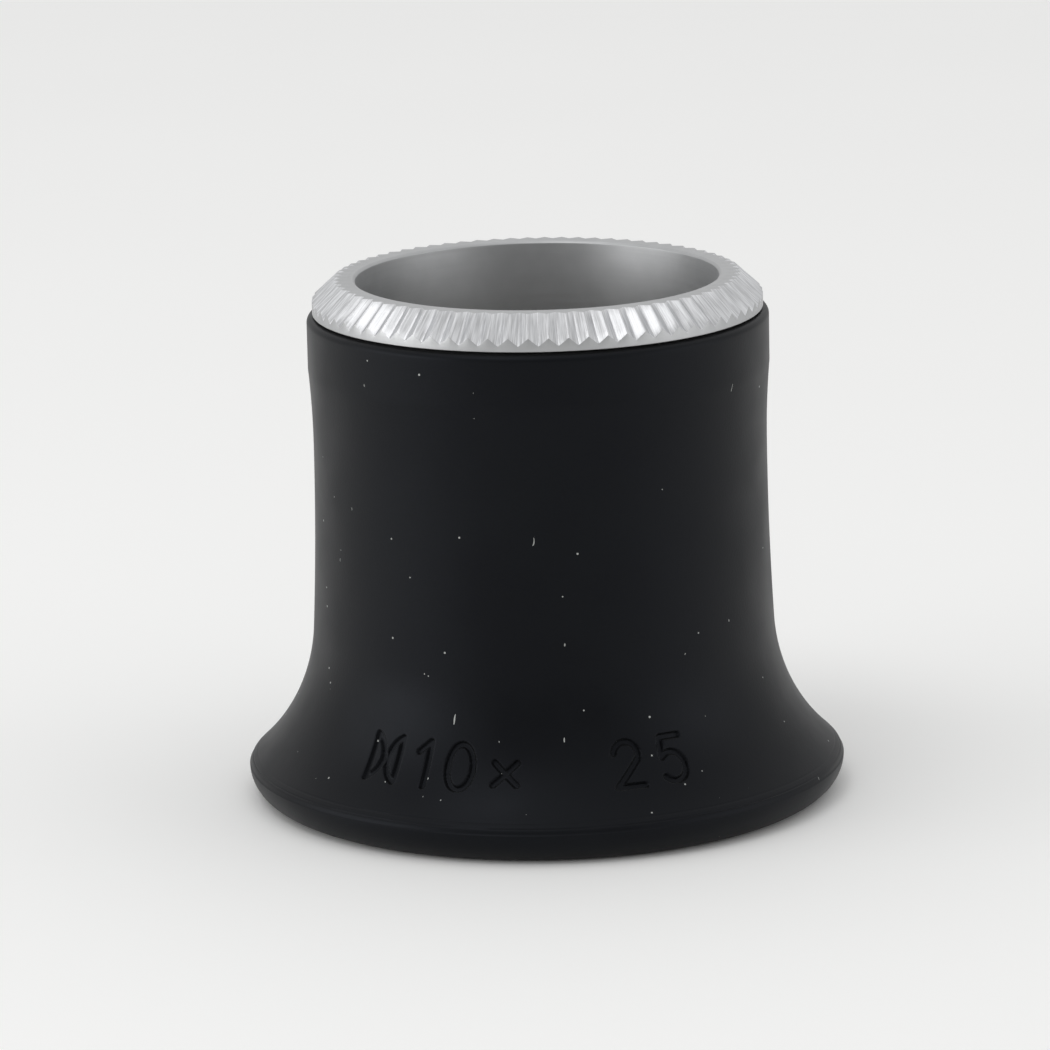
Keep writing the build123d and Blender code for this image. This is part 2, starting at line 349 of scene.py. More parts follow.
def streaks(tree, here, ring_grain, turn_grain, detail):
    """Noise drawn out round the axis or along it: its grain is one size in radius and height, and
    another, in radians, in angle."""
    at = add_node(tree, "ShaderNodeSeparateXYZ", {"Vector": here})
    flat = add_node(tree, "ShaderNodeCombineXYZ", {"X": at.outputs["X"], "Y": at.outputs["Y"]})
    radius = add_node(tree, "ShaderNodeVectorMath", {0: flat.outputs[0]}, operation="LENGTH")
    angle = add_node(
        tree, "ShaderNodeMath", {0: at.outputs["Y"], 1: at.outputs["X"]}, operation="ARCTAN2"
    )
    polar = add_node(
        tree,
        "ShaderNodeCombineXYZ",
        {"X": radius.outputs["Value"], "Y": at.outputs["Z"], "Z": angle.outputs[0]},
    )
    scaled = add_node(
        tree,
        "ShaderNodeVectorMath",
        {0: polar.outputs[0], 1: (1 / ring_grain, 1 / ring_grain, 1 / turn_grain)},
        operation="MULTIPLY",
    )
    return add_node(
        tree, "ShaderNodeTexNoise", {"Vector": scaled.outputs[0], "Scale": 1.0, "Detail": detail}
    ).outputs["Fac"]


def turned_aluminium(settings):
    """Aluminium turned on a lathe, then etched and clear anodised: an even silver satin with the
    faintest rings, drawn three times as coarse as the real feed so that they show."""
    feed = 0.12 * MM
    cloud_grain = 1.2 * MM
    material, tree, shader, here = new_material("clear-anodised turned aluminium", Metallic=1.0)
    cloud = add_node(
        tree, "ShaderNodeTexNoise", {"Vector": here, "Scale": 1 / cloud_grain, "Detail": 3.0}
    ).outputs["Fac"]
    shade_by(
        tree, shader, cloud, (0.3, 0.7), opaque(settings.metal), opaque(settings.metal, 0.94)
    )
    rings = streaks(tree, here, feed, 1.3, 1.0)
    finish_by(tree, shader, rings, (0.42, 0.50), rings, 0.002 * MM, 0.4)
    return material


def cut_aluminium(settings):
    """Flanks of the flutes, cut with a V tool and anodised: brighter than the turned faces, with
    fine streaks that run down the flute as the tool did, and the grit of the etch."""
    streak = 0.006
    etch = 0.07 * MM
    material, tree, shader, here = new_material("clear-anodised cut aluminium", Metallic=1.0)
    lines = streaks(tree, here, 1.6 * MM, streak, 2.0)
    bright = settings.metal_cut
    shade_by(tree, shader, lines, (0.35, 0.65), opaque(bright, 0.68), opaque(bright))
    grit = add_node(
        tree, "ShaderNodeTexNoise", {"Vector": here, "Scale": 1 / etch, "Detail": 1.0}
    ).outputs["Fac"]
    rough = add_node(tree, "ShaderNodeMath", {0: lines, 1: grit}, operation="ADD").outputs[0]
    finish_by(tree, shader, lines, (0.30, 0.46), rough, 0.008 * MM, 0.5)
    return material


def coated_glass():
    """Crown glass, polished and bloomed with a quarter wave of magnesium fluoride, which leaves a
    faint violet in its reflections, and wiped, so that a trace of the smear is left."""
    smear_size = 4.0 * MM
    material, tree, shader, here = new_material(
        "coated crown glass",
        Base_Color=linear("#f7fbf8"),
        IOR=1.517,
        Transmission_Weight=1.0,
        Thin_Film_Thickness=105.0,
        Thin_Film_IOR=1.38,
    )
    smear = add_node(tree, "ShaderNodeTexNoise", {"Vector": here, "Scale": 1 / smear_size})
    dulled = add_node(
        tree,
        "ShaderNodeMapRange",
        {"Value": smear.outputs["Fac"], "From Min": 0.4, "From Max": 0.8, "To Max": 0.02},
    )
    tree.links.new(dulled.outputs["Result"], shader.inputs["Roughness"])
    return material


def ground_glass():
    """The lens's straight edge and bevel, ground matt with 600 grit: greyish white."""
    material, tree, shader, here = new_material(
        "ground glass edge", IOR=1.517, Transmission_Weight=0.2
    )
    grit = add_node(
        tree, "ShaderNodeTexNoise", {"Vector": here, "Scale": 1 / (0.08 * MM), "Detail": 1.0}
    ).outputs["Fac"]
    shade_by(tree, shader, grit, (0.0, 1.0), linear("#8f9592"), linear("#b4bab6"))
    finish_by(tree, shader, grit, (0.55, 0.70), grit, 0.01 * MM)
    return material


def black_anodising(settings):
    """Aluminium, turned and dyed matt black in the anodising bath, so that it kills glare."""
    material, tree, shader, here = new_material("matt black anodised aluminium", Metallic=0.4)
    rings = streaks(tree, here, 0.1 * MM, 1.3, 1.0)
    black = settings.anodised
    shade_by(tree, shader, rings, (0.0, 1.0), opaque(black, 0.7), opaque(black))
    finish_by(tree, shader, rings, (0.50, 0.62), rings, 0.004 * MM)
    return material


def natural_nylon(settings):
    """Nylon 66 in its natural off-white, turned from rod: waxy, with a little light inside it."""
    material, tree, shader, here = new_material(
        "natural nylon", IOR=1.53, Subsurface_Weight=0.15
    )
    shader.inputs["Subsurface Radius"].default_value = (0.6 * MM, 0.5 * MM, 0.35 * MM)
    rings = streaks(tree, here, 0.12 * MM, 1.3, 1.0)
    waxy = settings.nylon
    shade_by(tree, shader, rings, (0.0, 1.0), opaque(waxy, 0.88), opaque(waxy))
    finish_by(tree, shader, rings, (0.38, 0.50), rings, 0.004 * MM)
    return material


# ---------------------------------------------------------------- outlines in radius and height
def towards(start, target, distance):
    """Point at a distance from start, on the line to target."""
    share = distance / math.dist(start, target)
    return start[0] + share * (target[0] - start[0]), start[1] + share * (target[1] - start[1])


def circle_meet(centre_a, radius_a, centre_b, radius_b):
    """Point where two circles meet, left of the line from a to b."""
    gap = math.dist(centre_a, centre_b)
    along = (gap**2 + radius_a**2 - radius_b**2) / (2 * gap)
    across = math.sqrt(radius_a**2 - along**2)
    unit_r = (centre_b[0] - centre_a[0]) / gap
    unit_z = (centre_b[1] - centre_a[1]) / gap
    return (
        centre_a[0] + along * unit_r - across * unit_z,
        centre_a[1] + along * unit_z + across * unit_r,
    )


def line(start, end, spacing=None):
    """Points from start to end, the end left out."""
    steps = max(1, round(math.dist(start, end) / spacing)) if spacing else 1
    return [
        (start[0] + (end[0] - start[0]) * i / steps, start[1] + (end[1] - start[1]) * i / steps)
        for i in range(steps)
    ]


def arc(centre, start, end, spacing):
    """Points of an arc about a centre, the short way round, the end left out."""
    radius = math.dist(centre, start)
    first = math.atan2(start[1] - centre[1], start[0] - centre[0])
    last = math.atan2(end[1] - centre[1], end[0] - centre[0])
    turn = (last - first + math.pi) % math.tau - math.pi
    steps = max(2, round(abs(turn) * radius / spacing))
    return [
        (
            centre[0] + radius * math.cos(first + turn * i / steps),
            centre[1] + radius * math.sin(first + turn * i / steps),
        )
        for i in range(steps)
    ]


def soften(points, radius, sharpest=math.radians(28), closed=True):
    """The outline with each sharp corner rounded, and a point held either side of the round."""
    smooth = []
    for i, corner in enumerate(points):
        before = Vector(points[i - 1])
        after = Vector(points[(i + 1) % len(points)])
        here = Vector(corner)
        into, out = here - before, after - here
        open_end = not closed and i in (0, len(points) - 1)
        if open_end or into.length < 1e-9 or out.length < 1e-9 or into.angle(out) < sharpest:
            smooth.append(corner)
            continue
        reach = min(radius, 0.3 * into.length, 0.3 * out.length)
        start = here - into.normalized() * reach
        end = here + out.normalized() * reach
        middle = (start + end) * 0.25 + here * 0.5
        held = [start - into.normalized() * reach * 0.5, start, middle, end]
        smooth += [tuple(p) for p in held + [end + out.normalized() * reach * 0.5]]
    return smooth


def spin(outline, angles, raise_by=None):
    """Vertices and faces of an outline turned about the axis; points on the axis become poles.
    raise_by(row, angle) moves a point out along the outline's own normal."""
    closed = outline[0][0] > 1e-9
    verts, rings = [], []
    for row, (radius, height) in enumerate(outline):
        if radius < 1e-9:
            rings.append([len(verts)] * len(angles))
            verts.append((0.0, 0.0, height))
            continue
        before, after = Vector(outline[row - 1]), Vector(outline[(row + 1) % len(outline)])
        normal = Vector((after.y - before.y, before.x - after.x)).normalized()
        rings.append(list(range(len(verts), len(verts) + len(angles))))
        for angle in angles:
            lift = raise_by(row, angle) if raise_by else 0.0
            out = radius + lift * normal.x
            verts.append((out * math.cos(angle), out * math.sin(angle), height + lift * normal.y))
    faces = []
    pairs = list(zip(rings, rings[1:])) + ([(rings[-1], rings[0])] if closed else [])
    for low, high in pairs:
        for i in range(len(angles)):
            j = (i + 1) % len(angles)
            face = []
            for vertex in (low[i], low[j], high[j], high[i]):
                if vertex not in face:
                    face.append(vertex)
            faces.append(face)
    return verts, faces


def even_angles(count):
    """Angles all the way round."""
    return [math.tau * i / count for i in range(count)]


def make_object(name, verts, faces, materials):
    """An object at the origin with a smooth-shaded mesh."""
    mesh = bpy.data.meshes.new(name)
    mesh.from_pydata(verts, [], faces)
    for material in materials:
        mesh.materials.append(material)
    mesh.shade_smooth()
    piece = bpy.data.objects.new(name, mesh)
    bpy.context.scene.collection.objects.link(piece)
    return piece


def crease(piece, angle=math.radians(32)):
    """Keeps an edge sharp in the shading where its faces meet at more than an angle."""
    body = bmesh.new()
    body.from_mesh(piece.data)
    for edge in body.edges:
        edge.smooth = len(edge.link_faces) != 2 or edge.calc_face_angle(0.0) < angle
    body.to_mesh(piece.data)
    body.free()


def settle(piece):
    """Bakes a piece's modifiers into a plain mesh and removes them."""
    bpy.context.view_layer.update()
    graph = bpy.context.evaluated_depsgraph_get()
    baked = bpy.data.meshes.new_from_object(
        piece.evaluated_get(graph), preserve_all_data_layers=True, depsgraph=graph
    )
    piece.modifiers.clear()
    piece.data = baked
    return piece


def finish_piece(piece, node):
    """Puts a finished piece on its CAD node's body, in that node's place."""
    body = next(b for b, nodes in frame["record"]["behaviour"]["bodies"].items() if node in nodes)
    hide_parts(node)
    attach(piece, body)


# ---------------------------------------------------------------- geometry node trees
def new_tree(name, sockets):
    """A geometry node tree with named inputs; returns it, its input node and identifiers."""
    tree = bpy.data.node_groups.new(name, "GeometryNodeTree")
    tree.is_modifier = True
    tree.interface.new_socket(name="Geometry", in_out="INPUT", socket_type="NodeSocketGeometry")
    tree.interface.new_socket(name="Geometry", in_out="OUTPUT", socket_type="NodeSocketGeometry")
    names = {}
    for label, kind in sockets:
        made = tree.interface.new_socket(
            name=label, in_out="INPUT", socket_type=f"NodeSocket{kind}"
        )
        names[label] = made.identifier
    return tree, add_node(tree, "NodeGroupInput").outputs, names


def close_tree(tree, geometry):
    """Links the last geometry to the tree's output."""
    add_node(tree, "NodeGroupOutput", {"Geometry": geometry})
    return tree


def run_tree(piece, tree, names, values):
    """Runs a tree on a piece and bakes it."""
    modifier = piece.modifiers.new(tree.name, "NODES")
    modifier.node_group = tree
    for label, value in values.items():
        modifier[names[label]] = value
    return settle(piece)


def flute_tree():
    """Repeats one fluted sector all the way round and welds it into one ring."""
    sockets = (("Flutes", "Int"), ("Turned metal", "Material"), ("Cut metal", "Material"))
    tree, given, names = new_tree("fluted ring", sockets)
    points = add_node(tree, "GeometryNodePoints", {"Count": given["Flutes"]})
    step = add_node(tree, "ShaderNodeMath", {0: math.tau, 1: given["Flutes"]}, operation="DIVIDE")
    index = add_node(tree, "GeometryNodeInputIndex")
    angle = add_node(
        tree, "ShaderNodeMath", {0: index.outputs[0], 1: step.outputs[0]}, operation="MULTIPLY"
    )
    turn = add_node(tree, "ShaderNodeCombineXYZ", {"Z": angle.outputs[0]})
    copies = add_node(
        tree,
        "GeometryNodeInstanceOnPoints",
        {"Points": points.outputs[0], "Instance": given["Geometry"], "Rotation": turn.outputs[0]},
    )
    real = add_node(tree, "GeometryNodeRealizeInstances", {"Geometry": copies.outputs[0]})
    welded = add_node(
        tree, "GeometryNodeMergeByDistance", {"Geometry": real.outputs[0], "Distance": 0.002 * MM}
    )
    turned = add_node(
        tree,
        "GeometryNodeSetMaterial",
        {"Geometry": welded.outputs[0], "Material": given["Turned metal"]},
    )
    flank = add_node(
        tree, "GeometryNodeInputNamedAttribute", {"Name": "flank"}, data_type="BOOLEAN"
    )
    cut = add_node(
        tree,
        "GeometryNodeSetMaterial",
        {
            "Geometry": turned.outputs[0],
            "Selection": flank.outputs["Attribute"],
            "Material": given["Cut metal"],
        },
    )
    return close_tree(tree, cut.outputs[0]), names


FLANK_ANGLE = math.radians(30)
HELIX_STEPS = 96
RUNOUT_TURNS = 0.12
RUNOUT_LEAST = 0.1


def thread_tree():
    """A helical ridge of trapezoid section whose ends run out into the wall."""
    sockets = (
        ("Pitch", "Float"),
        ("Turns", "Float"),
        ("Buried radius", "Float"),
        ("Start height", "Float"),
        ("Ridge", "Float"),
        ("Buried width", "Float"),
        ("Crest width", "Float"),
        ("Facing", "Float"),
        ("Runout turns", "Float"),
        ("Material", "Material"),
    )
    tree, given, names = new_tree("screw thread", sockets)
    rise = add_node(
        tree, "ShaderNodeMath", {0: given["Pitch"], 1: given["Turns"]}, operation="MULTIPLY"
    )
    helix = add_node(
        tree,
        "GeometryNodeCurveSpiral",
        {
            "Resolution": HELIX_STEPS,
            "Rotations": given["Turns"],
            "Start Radius": given["Buried radius"],
            "End Radius": given["Buried radius"],
            "Height": rise.outputs[0],
            "Reverse": True,
        },
    )
    lift = add_node(tree, "ShaderNodeCombineXYZ", {"Z": given["Start height"]})
    placed = add_node(
        tree,
        "GeometryNodeTransform",
        {"Geometry": helix.outputs[0], "Translation": lift.outputs[0]},
    )
    upright = add_node(
        tree, "GeometryNodeSetCurveNormal", {"Curve": placed.outputs[0]}, mode="Z_UP"
    )
    section = add_node(
        tree,
        "GeometryNodeCurvePrimitiveQuadrilateral",
        {
            "Height": given["Ridge"],
            "Bottom Width": given["Buried width"],
            "Top Width": given["Crest width"],
            "Offset": 0.0,
        },
        mode="TRAPEZOID",
    )
    middle = add_node(tree, "ShaderNodeMath", {0: given["Ridge"], 1: 0.5}, operation="MULTIPLY")
    out = add_node(tree, "ShaderNodeCombineXYZ", {"Y": middle.outputs[0]})
    moved = add_node(
        tree,
        "GeometryNodeTransform",
        {"Geometry": section.outputs[0], "Translation": out.outputs[0]},
    )
    side = add_node(
        tree,
        "ShaderNodeMath",
        {0: given["Facing"], 1: -math.pi / 2},
        operation="MULTIPLY",
    )
    spun = add_node(tree, "ShaderNodeCombineXYZ", {"Z": side.outputs[0]})
    facing = add_node(
        tree, "GeometryNodeTransform", {"Geometry": moved.outputs[0], "Rotation": spun.outputs[0]}
    )
    along = add_node(tree, "GeometryNodeSplineParameter")
    turns_in = add_node(
        tree,
        "ShaderNodeMath",
        {0: along.outputs["Factor"], 1: given["Turns"]},
        operation="MULTIPLY",
    )
    turns_left = add_node(
        tree, "ShaderNodeMath", {0: given["Turns"], 1: turns_in.outputs[0]}, operation="SUBTRACT"
    )
    nearest = add_node(
        tree,
        "ShaderNodeMath",
        {0: turns_in.outputs[0], 1: turns_left.outputs[0]},
        operation="MINIMUM",
    )
    growth = add_node(
        tree,
        "ShaderNodeMapRange",
        {"Value": nearest.outputs[0], "From Max": given["Runout turns"], "To Min": RUNOUT_LEAST},
        interpolation_type="SMOOTHSTEP",
    )
    ridge = add_node(
        tree,
        "GeometryNodeCurveToMesh",
        {
            "Curve": upright.outputs[0],
            "Profile Curve": facing.outputs[0],
            "Scale": growth.outputs[0],
            "Fill Caps": True,
        },
    )
    real = add_node(tree, "GeometryNodeRealizeInstances", {"Geometry": ridge.outputs[0]})
    dressed = add_node(
        tree,
        "GeometryNodeSetMaterial",
        {"Geometry": real.outputs[0], "Material": given["Material"]},
    )
    return close_tree(tree, dressed.outputs[0]), names


def thread_ridge(settings, root_r, crest_r, low_z, high_z, material):
    """A thread ridge whose middle climbs from low_z to high_z, starting at +X."""
    facing = math.copysign(1, crest_r - root_r)
    slope = math.tan(FLANK_ANGLE)
    overlap = settings.depth - settings.gap
    crest = (settings.pitch - 2 * settings.flank_gap - 2 * overlap * slope) / 2
    buried = crest + 2 * (settings.depth + settings.bite) * slope
    tree, names = thread_tree()
    ridge = make_object("thread ridge", [], [], [])
    run_tree(
        ridge,
        tree,
        names,
        {
            "Pitch": settings.pitch,
            "Turns": (high_z - low_z) / settings.pitch,
            "Buried radius": root_r - facing * settings.bite,
            "Start height": low_z,
            "Ridge": settings.depth + settings.bite,
            "Buried width": buried,
            "Crest width": crest,
            "Facing": facing,
            "Runout turns": RUNOUT_TURNS,
            "Material": material,
        },
    )
    face_outwards(ridge)
    return ridge


def face_outwards(piece):
    """Recalculates a closed piece's normals."""
    body = bmesh.new()
    body.from_mesh(piece.data)
    bmesh.ops.remove_doubles(body, verts=body.verts, dist=0.0005 * MM)
    bmesh.ops.recalc_face_normals(body, faces=body.faces)
    body.to_mesh(piece.data)
    body.free()


def unite(piece, other):
    """Joins another closed piece onto a piece as one closed shell."""
    union = piece.modifiers.new("union", "BOOLEAN")
    union.operation = "UNION"
    union.solver = "MANIFOLD"
    union.object = other
    settle(piece)
    bpy.data.objects.remove(other)
    return piece


# ---------------------------------------------------------------- eye cup
SPACING = 0.3 * MM
ROUND_COLUMNS = 192
CUP_COLUMNS = 200
PATCH_CUTS = 7
# Each fine line on the rim: millimetres above the seam, share of its height, width in millimetres.
SEAM_LINES = ((0.0, 1.0, 0.05), (0.42, -0.5, 0.04), (0.80, -0.35, 0.035))


def flare_centres(settings):
    """Centres of the lip's over roll, the flare and the neck sweep."""
    over = (CUP_R - settings.lip_over, settings.lip_under)
    neck = (settings.waist + settings.neck_sweep, WAIST_Z)
    flare = circle_meet(
        over, settings.flare + settings.lip_over, neck, settings.neck_sweep - settings.flare
    )
    return over, flare, neck


def cup_outline(settings, thread):
    """The cup's section: foot, rolled rim, flare, waist, collar, mouth, then down the inside."""
    over, flare, neck = flare_centres(settings)
    foot = (CUP_R - settings.lip_under, CUP_LOW)
    widest = (CUP_R, settings.lip_under)
    lip_end = towards(over, flare, settings.lip_over)
    flare_end = towards(neck, flare, settings.neck_sweep)
    waist = (settings.waist, WAIST_Z)
    collar_foot = (COLLAR_R, WAIST_Z + settings.waist_drop)
    step = COLLAR_R - settings.waist
    rise_r = (step**2 + settings.waist_drop**2) / (2 * step)
    edge_low = (COLLAR_R, MOUTH_Z - settings.mouth_edge)
    edge_high = (COLLAR_R - settings.mouth_edge, MOUTH_Z)
    seat_r = LENS_R + settings.seat_gap
    root_r = seat_r + thread.step + thread.depth
    relief_z = FRONT_FLAT_Z + settings.relief
    ledge_r = LENS_R - settings.ledge_land
    ledge_z = REAR_FLAT_Z - settings.ledge
    hollow = settings.flare + settings.flare_wall
    cavity_r = flare[0] - hollow
    open_r = CUP_R - settings.lip_under - settings.foot_land
    open_z = flare[1] - math.sqrt(hollow**2 - (flare[0] - open_r) ** 2)
    edge_r = open_r + settings.eye_edge
    fine = 0.05 * MM
    points = line((edge_r, CUP_LOW), foot, SPACING)
    points += arc((foot[0], settings.lip_under), foot, widest, fine)
    points += arc(over, widest, lip_end, fine)
    seam_top = towards(flare, (CUP_R - 1.2 * MM, settings.lip_under + 1.6 * MM), settings.flare)
    points += arc(flare, lip_end, seam_top, fine)
    points += arc(flare, seam_top, flare_end, SPACING)
    points += arc(neck, flare_end, waist, 2 * SPACING)
    points += arc((settings.waist + rise_r, WAIST_Z), waist, collar_foot, SPACING)
    points += line(collar_foot, edge_low, SPACING)
    points += arc((edge_high[0], edge_low[1]), edge_low, edge_high, fine)
    points += line(edge_high, (root_r, MOUTH_Z), SPACING)
    points += line((root_r, MOUTH_Z), (root_r, relief_z))
    points += line((root_r, relief_z), (seat_r, relief_z))
    points += line((seat_r, relief_z), (seat_r, REAR_FLAT_Z))
    points += line((seat_r, REAR_FLAT_Z), (ledge_r, REAR_FLAT_Z))
    points += line((ledge_r, REAR_FLAT_Z), (ledge_r, ledge_z))
    points += line((ledge_r, ledge_z), (cavity_r, ledge_z))
    points += line((cavity_r, ledge_z), (cavity_r, flare[1]), SPACING)
    points += arc(flare, (cavity_r, flare[1]), (open_r, open_z), SPACING)
    points += line((open_r, open_z), (open_r, settings.eye_edge), SPACING)
    points += arc((edge_r, settings.eye_edge), (open_r, settings.eye_edge), (edge_r, CUP_LOW), fine)
    return soften(points, 0.06 * MM)


def seam_lift(settings, points):
    """How far the rim and its fine lines stand out, row by row and angle. Every row up to the
    parting line stands out by the seam's height, so the seam is the step where that ends."""
    _, flare, _ = flare_centres(settings)
    run = 0.0
    lifts = []
    for i, point in enumerate(points):
        outside = point[0] > CUP_R - 2.5 * MM and i > 0 and points[i - 1][1] <= point[1]
        if outside and point[1] > settings.lip_under:
            run += math.dist(points[i - 1], point)
        lifts.append(run / MM if outside and point[1] < settings.lip_under + 2 * MM else None)

    def lift(row, angle):
        along = lifts[row]
        if along is None:
            return 0.0
        total = 0.0
        for i, (where, proud, width) in enumerate(SEAM_LINES):
            wander = 0.6 + 0.8 * abs(math.sin(3 * angle + i) * math.sin(1.7 + 2 * angle + 2 * i))
            total += proud * (wander if i else 1.0) * math.exp(-(((along - where) / width) ** 2))
        return total * settings.seam_height

    return lift


def arc_points(centre, radius_x, radius_y, first, last, steps=14):
    """Points of an upright elliptical arc, angles in degrees."""
    return [
        (
            centre[0] + radius_x * math.cos(math.radians(first + (last - first) * i / steps)),
            centre[1] + radius_y * math.sin(math.radians(first + (last - first) * i / steps)),
        )
        for i in range(steps + 1)
    ]


def figure_strokes():
    """The mark's figures as (width, strokes), drawn one unit high: a lens pair, 10x and 25."""
    lens_left = [(0.0, 0.0), (0.0, 1.0)] + arc_points((-0.267, 0.5), 0.567, 0.567, 62, -62)
    lens_right = [(0.72 - x, y) for x, y in lens_left]
    one = [(0.0, 0.76), (0.26, 1.0), (0.26, 0.0)]
    zero = arc_points((0.29, 0.5), 0.29, 0.5, 0, 360, 36)
    cross = ([(0.0, 0.14), (0.5, 0.64)], [(0.0, 0.64), (0.5, 0.14)])
    two = arc_points((0.28, 0.72), 0.28, 0.28, 170, -28) + [(0.0, 0.0), (0.58, 0.0)]
    five = [(0.54, 1.0), (0.08, 1.0), (0.04, 0.56)]
    five += arc_points((0.26, 0.33), 0.30, 0.33, 110, -140)
    return {
        "lenses": (0.72, (lens_left, lens_right)),
        "one": (0.26, (one,)),
        "zero": (0.58, (zero,)),
        "times": (0.50, cross),
        "two": (0.58, (two,)),
        "five": (0.56, (five,)),
    }


MARK_LINES = ((-24.0, ("lenses", "one", "zero", "times")), (23.0, ("two", "five")))
MARK_GAP = 0.48
MARK_Z = 5.15 * MM


def mark_segments(settings, flare):
    """The mark's strokes as straight runs, in metres along and up the flare from its middle."""
    figures = figure_strokes()
    radius = flare[0] - math.sqrt(settings.flare**2 - (flare[1] - MARK_Z) ** 2)
    size = settings.mark_height
    segments = []
    for degrees, names in MARK_LINES:
        total = sum(figures[n][0] for n in names) + MARK_GAP * (len(names) - 1)
        left = -total / 2
        middle = math.radians(degrees) * radius
        for name in names:
            width, strokes = figures[name]
            for stroke in strokes:
                placed = [(middle + (left + x) * size, (y - 0.5) * size) for x, y in stroke]
                segments += list(zip(placed, placed[1:]))
            left += width + MARK_GAP
    return segments, radius


def stroke_distance(segments, x, y):
    """Distance from a point to the nearest stroke."""
    nearest = math.inf
    for (ax, ay), (bx, by) in segments:
        if min(ax, bx) - x > nearest or x - max(ax, bx) > nearest:
            continue
        run_x, run_y = bx - ax, by - ay
        share = ((x - ax) * run_x + (y - ay) * run_y) / (run_x * run_x + run_y * run_y + 1e-18)
        share = min(1.0, max(0.0, share))
        nearest = min(nearest, math.hypot(x - ax - share * run_x, y - ay - share * run_y))
    return nearest


def press_mark(cup, settings):
    """Sinks the mark in the front of the flare, on a finer patch of the mesh."""
    _, flare, _ = flare_centres(settings)
    segments, radius = mark_segments(settings, flare)
    stroke, border = 0.17 * MM, 0.07 * MM
    on_flare = 0.05 * MM
    middle_turn = math.atan2(MARK_Z - flare[1], radius - flare[0])
    half_height = 0.5 * settings.mark_height + 3 * stroke
    reach = max(abs(x) for run in segments for x, y in run) + 3 * stroke
    body = bmesh.new()
    body.from_mesh(cup.data)

    def flat(point):
        out = math.hypot(point.x, point.y)
        turn = math.atan2(point.z - flare[1], out - flare[0]) % math.tau - middle_turn % math.tau
        x = math.atan2(point.x, -point.y) * radius
        return x, -turn * settings.flare, math.hypot(out - flare[0], point.z - flare[1])

    chosen = []
    for face in body.faces:
        x, y, away = flat(face.calc_center_median())
        if abs(x) < reach and abs(y) < half_height and abs(away - settings.flare) < on_flare:
            chosen.append(face)
    edges = list({edge for face in chosen for edge in face.edges})
    bmesh.ops.subdivide_edges(body, edges=edges, cuts=PATCH_CUTS, use_grid_fill=True)
    for vert in body.verts:
        x, y, away = flat(vert.co)
        beside = abs(x) > reach + MM or abs(y) > half_height + MM
        if beside or abs(away - settings.flare) > on_flare:
            continue
        distance = stroke_distance(segments, x, y)
        share = min(1.0, max(0.0, (stroke + border - distance) / (2 * border)))
        sunk = settings.mark_depth * share * share * (3 - 2 * share)
        out = math.hypot(vert.co.x, vert.co.y)
        new_r, new_z = towards(flare, (out, vert.co.z), settings.flare + sunk)
        vert.co = (vert.co.x * new_r / out, vert.co.y * new_r / out, new_z)
    body.to_mesh(cup.data)
    body.free()


class LOUPE_OT_eye_cup(bpy.types.Operator):
    """Moulded eye cup: rolled rim with the mould's seam, flare, waist, collar and inner thread"""

    bl_idname = "loupe.eye_cup"
    bl_label = "Eye cup"

    def execute(self, context):
        settings, thread = context.scene.loupe_cup, context.scene.loupe_thread
        plastic = moulded_plastic(settings)
        points = cup_outline(settings, thread)
        verts, faces = spin(points, even_angles(CUP_COLUMNS), seam_lift(settings, points))
        cup = make_object("moulded_eye_cup", verts, faces, [plastic])
        press_mark(cup, settings)
        crest_r = LENS_R + settings.seat_gap + thread.step
        low_z = BARREL_LOW + thread.lead + thread.pitch / 2
        ridge = thread_ridge(
            thread, crest_r + thread.depth, crest_r, low_z, MOUTH_Z - thread.mouth_lead, plastic
        )
        unite(cup, ridge)
        crease(cup)
        finish_piece(cup, "eye_cup")
        return {"FINISHED"}


# ---------------------------------------------------------------- lenses and spacer
def lens_outline(settings, flat_z, crown_z):
    """Section of a plano-convex lens, from its lower pole to its upper one."""
    facing = math.copysign(1, crown_z - flat_z)
    centre_z = crown_z - facing * settings.curve
    rim_z = centre_z + facing * math.sqrt(settings.curve**2 - LENS_R**2)
    bevel = settings.bevel
    flat = line((0.0, flat_z), (LENS_R - bevel, flat_z), 1.5 * MM)
    side = [(LENS_R - bevel, flat_z), (LENS_R, flat_z + facing * bevel)]
    dome = arc((0.0, centre_z), (LENS_R, rim_z), (0.0, crown_z), 0.35 * MM) + [(0.0, crown_z)]
    points = flat + side + dome
    return points if facing > 0 else points[::-1]


def make_lens(context, name, node, flat_z, crown_z):
    """A lens with polished faces and a ground edge."""
    settings = context.scene.loupe_lens
    outline = soften(lens_outline(settings, flat_z, crown_z), 0.03 * MM, closed=False)
    verts, faces = spin(outline, even_angles(ROUND_COLUMNS))
    lens = make_object(name, verts, faces, [coated_glass(), ground_glass()])
    for face in lens.data.polygons:
        out = math.hypot(face.center.x, face.center.y)
        if out > LENS_R - settings.bevel and abs(face.normal.z) < 0.8:
            face.material_index = 1
    crease(lens)
    finish_piece(lens, node)


class LOUPE_OT_lenses(bpy.types.Operator):
    """Pair of plano-convex lenses, domes facing"""

    bl_idname = "loupe.lenses"
    bl_label = "Lenses"

    def execute(self, context):
        make_lens(context, "front_plano_convex_lens", "front_lens", FRONT_FLAT_Z, FRONT_CROWN_Z)
        make_lens(context, "rear_plano_convex_lens", "rear_lens", REAR_FLAT_Z, REAR_CROWN_Z)
        return {"FINISHED"}


